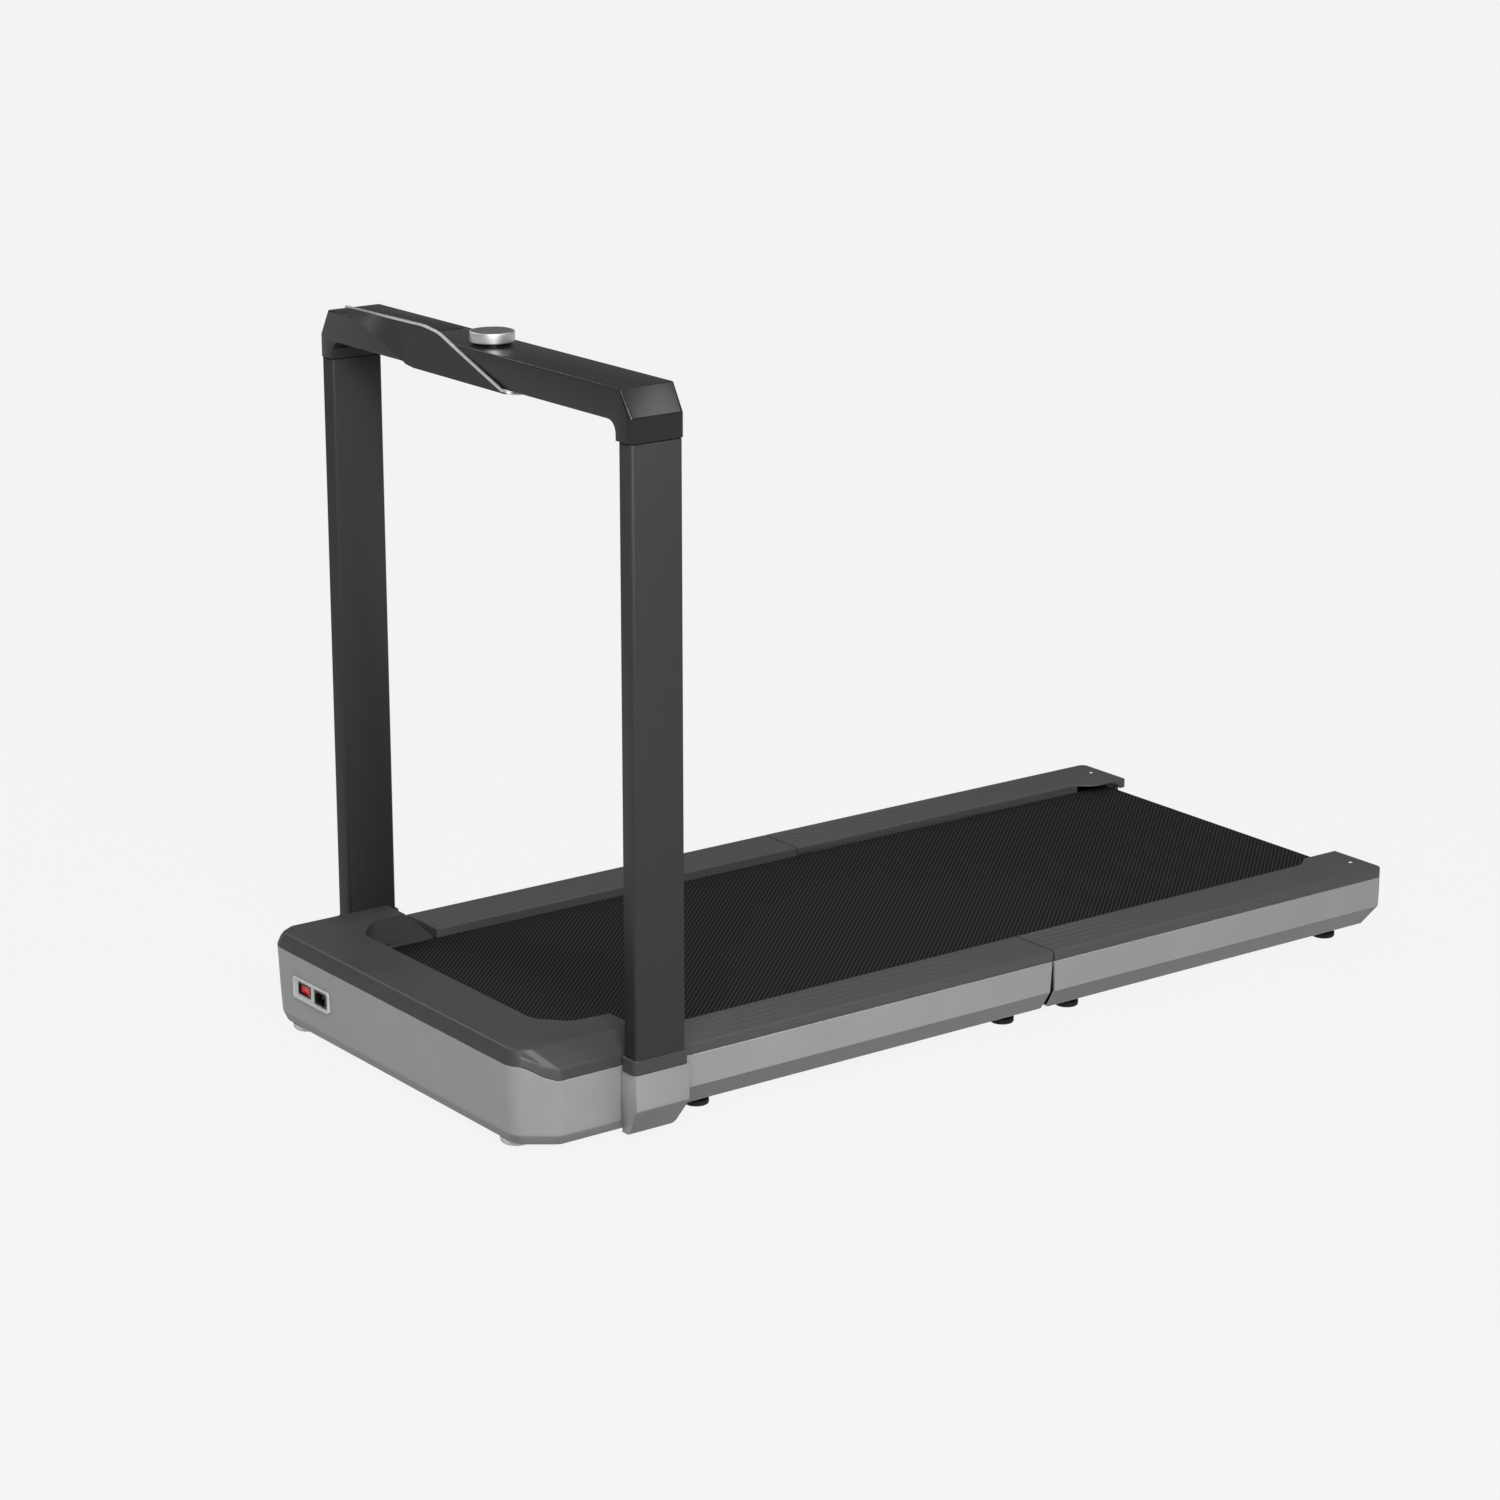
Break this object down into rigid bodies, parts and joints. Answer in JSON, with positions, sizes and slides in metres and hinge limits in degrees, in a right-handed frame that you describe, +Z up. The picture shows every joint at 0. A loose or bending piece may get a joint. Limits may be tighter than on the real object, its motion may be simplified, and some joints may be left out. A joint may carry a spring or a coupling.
{
  "type": "folding_treadmill",
  "caption": "Folding walking-pad treadmill: low motor base, ribbed belt on a deck hinged in the middle, and a fold-down handrail with a rotary knob and slanted console.",
  "frame": {"origin": "centre of the bounding box's bottom face, on the floor under the middle of the machine", "axes": "+X across the machine to the motor side's left-hand upright as seen by the walker, +Y along the belt from the motor base to the rear end, +Z up"},
  "size_m": [0.723, 1.4836, 0.9792],
  "materials": {
    "silver_shell": "satin",
    "dark_cover": "satin",
    "dark_rail": "anodised satin",
    "belt": "ribbed",
    "black_rubber": "matte",
    "black_plastic": "glossy",
    "pale_plastic": "matte",
    "steel": "brushed",
    "black_steel": "satin",
    "knob_metal": "brushed",
    "trim_metal": "satin",
    "red_plastic": "glossy",
    "board": "raw",
    "motor_paint": "satin"
  },
  "bodies": {
    "base": {"base_lower_shell": "silver_shell", "base_top_cover": "dark_cover", "base_foot_left": "pale_plastic", "base_foot_right": "pale_plastic", "power_entry_plate": "pale_plastic", "switch_body": "black_plastic", "power_inlet": "black_plastic", "pivot_pin_right": "steel", "pivot_pin_left": "steel", "motor": "motor_paint", "drive_belt": "black_rubber", "motor_controller": "black_plastic", "front_frame": "black_steel", "front_deck_board": "board", "belt_front": "belt", "front_rail_cover_right": "dark_rail", "front_rail_cover_left": "dark_rail", "front_rail_skirt_right": "silver_shell", "front_rail_skirt_left": "silver_shell", "front_deck_foot_a_right": "black_rubber", "front_deck_foot_a_left": "black_rubber", "front_deck_foot_b_right": "black_rubber", "front_deck_foot_b_left": "black_rubber"},
    "rear_deck": {"rear_frame": "black_steel", "rear_deck_board": "board", "belt_rear": "belt", "rear_roller_bracket_right": "black_plastic", "rear_roller_bracket_left": "black_plastic", "rear_rail_cover_right": "dark_rail", "rear_rail_cover_left": "dark_rail", "rear_rail_skirt_right": "silver_shell", "rear_rail_skirt_left": "silver_shell", "rear_deck_foot_a_right": "black_rubber", "rear_deck_foot_a_left": "black_rubber", "rear_deck_foot_b_right": "black_rubber", "rear_deck_foot_b_left": "black_rubber"},
    "handrail": {"upright_right": "dark_rail", "upright_left": "dark_rail", "hinge_arm_right": "black_steel", "hinge_arm_left": "black_steel", "corner_spigot_right": "black_plastic", "corner_spigot_left": "black_plastic", "upright_collar_right": "dark_cover", "upright_collar_left": "dark_cover", "upright_boot_right": "silver_shell", "upright_boot_left": "silver_shell", "crossbar": "dark_cover", "console_panel": "dark_cover", "console_trim": "trim_metal", "display_lens": "black_plastic", "knob_base": "black_plastic"},
    "knob": {"knob_ring": "knob_metal"},
    "knob_button": {"knob_button": "black_plastic"},
    "rocker": {"switch_rocker": "red_plastic"},
    "front_roller": {"front_roller": "steel", "front_roller_pulley": "black_steel"},
    "motor_shaft": {"motor_pulley": "steel"},
    "rear_roller": {"rear_roller": "steel"},
    "wheel_left": {"transport_wheel_left": "black_rubber"},
    "wheel_right": {"transport_wheel_right": "black_rubber"}
  },
  "joints": [
    {"name": "deck_fold", "type": "hinge", "parent": "base", "child": "rear_deck", "pos_m": [0, 0.11525, 0.1036], "axis": [1, 0, 0], "range_deg": [0, 180]},
    {"name": "handrail_fold", "type": "hinge", "parent": "base", "child": "handrail", "pos_m": [0, -0.56025, 0.06], "axis": [-1, 0, 0], "range_deg": [0, 84]},
    {"name": "knob_turn", "type": "hinge", "parent": "handrail", "child": "knob", "pos_m": [0, -0.56025, 0.97], "axis": [0, 0, 1], "continuous": true},
    {"name": "knob_press", "type": "slide", "parent": "knob", "child": "knob_button", "axis": [0, 0, -1], "range_m": [0, 0.0015], "stiffness_N_per_m": 800, "springref_m": -0.001},
    {"name": "rocker_tilt", "type": "hinge", "parent": "base", "child": "rocker", "pos_m": [-0.2127, -0.73195, 0.07275], "axis": [0, 0, 1], "range_deg": [0, 12]},
    {"name": "front_roller_spin", "type": "hinge", "parent": "base", "child": "front_roller", "pos_m": [0, -0.64875, 0.0711], "axis": [1, 0, 0], "continuous": true},
    {"name": "motor_spin", "type": "hinge", "parent": "base", "child": "motor_shaft", "pos_m": [0, -0.69725, 0.066], "axis": [1, 0, 0], "continuous": true},
    {"name": "rear_roller_spin", "type": "hinge", "parent": "rear_deck", "child": "rear_roller", "pos_m": [0, 0.70825, 0.0711], "axis": [1, 0, 0], "continuous": true},
    {"name": "wheel_left_spin", "type": "hinge", "parent": "base", "child": "wheel_left", "pos_m": [-0.19, -0.69675, 0.017], "axis": [1, 0, 0], "continuous": true},
    {"name": "wheel_right_spin", "type": "hinge", "parent": "base", "child": "wheel_right", "pos_m": [0.19, -0.69675, 0.017], "axis": [1, 0, 0], "continuous": true}
  ],
  "couplings": [
    {"joint": "motor_spin", "follows": "front_roller_spin", "ratio": 2.1818},
    {"joint": "rear_roller_spin", "follows": "front_roller_spin", "ratio": 1}
  ]
}
